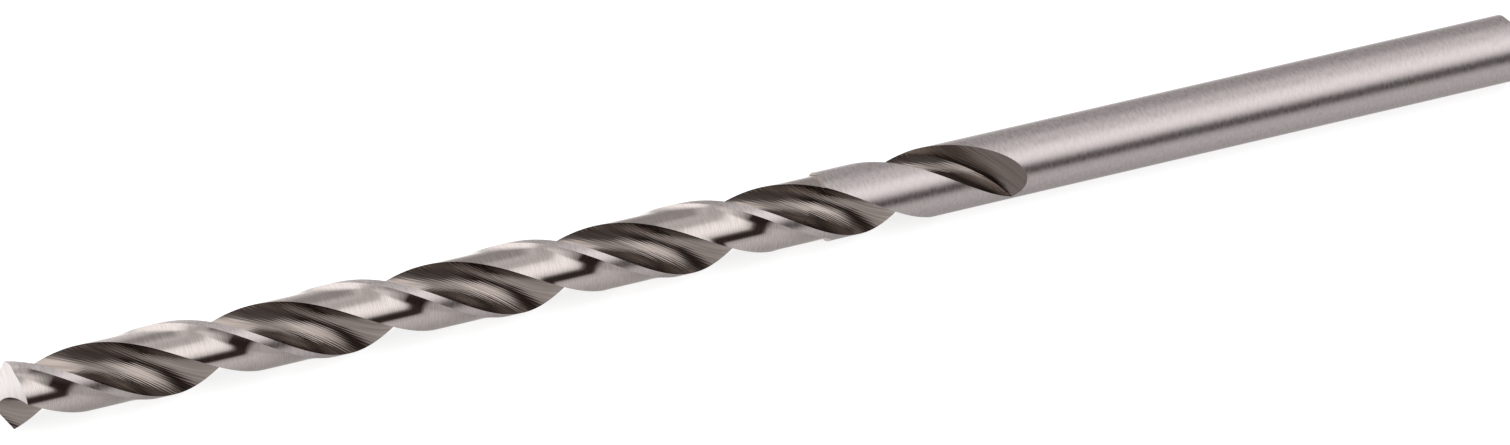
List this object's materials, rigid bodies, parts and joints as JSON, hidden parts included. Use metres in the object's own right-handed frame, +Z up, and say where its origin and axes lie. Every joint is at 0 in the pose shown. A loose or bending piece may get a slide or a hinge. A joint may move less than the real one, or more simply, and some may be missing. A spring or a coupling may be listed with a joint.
{
  "type": "twist drill bit",
  "caption": "Straight-shank long-series twist drill with two right-hand helical flutes, ground margins and a 118 degree point.",
  "frame": {"origin": "centre of the shank's flat end face", "axes": "+X along the drill's axis from the point to the shank, +Z up with the drill lying level"},
  "size_m": [0.139, 0.006, 0.006],
  "materials": {
    "ground_steel": "bright ground high-speed steel, polished lands, fine grinding lines in the flutes"
  },
  "bodies": {
    "root": {"twist_drill": "ground_steel"}
  },
  "joints": []
}
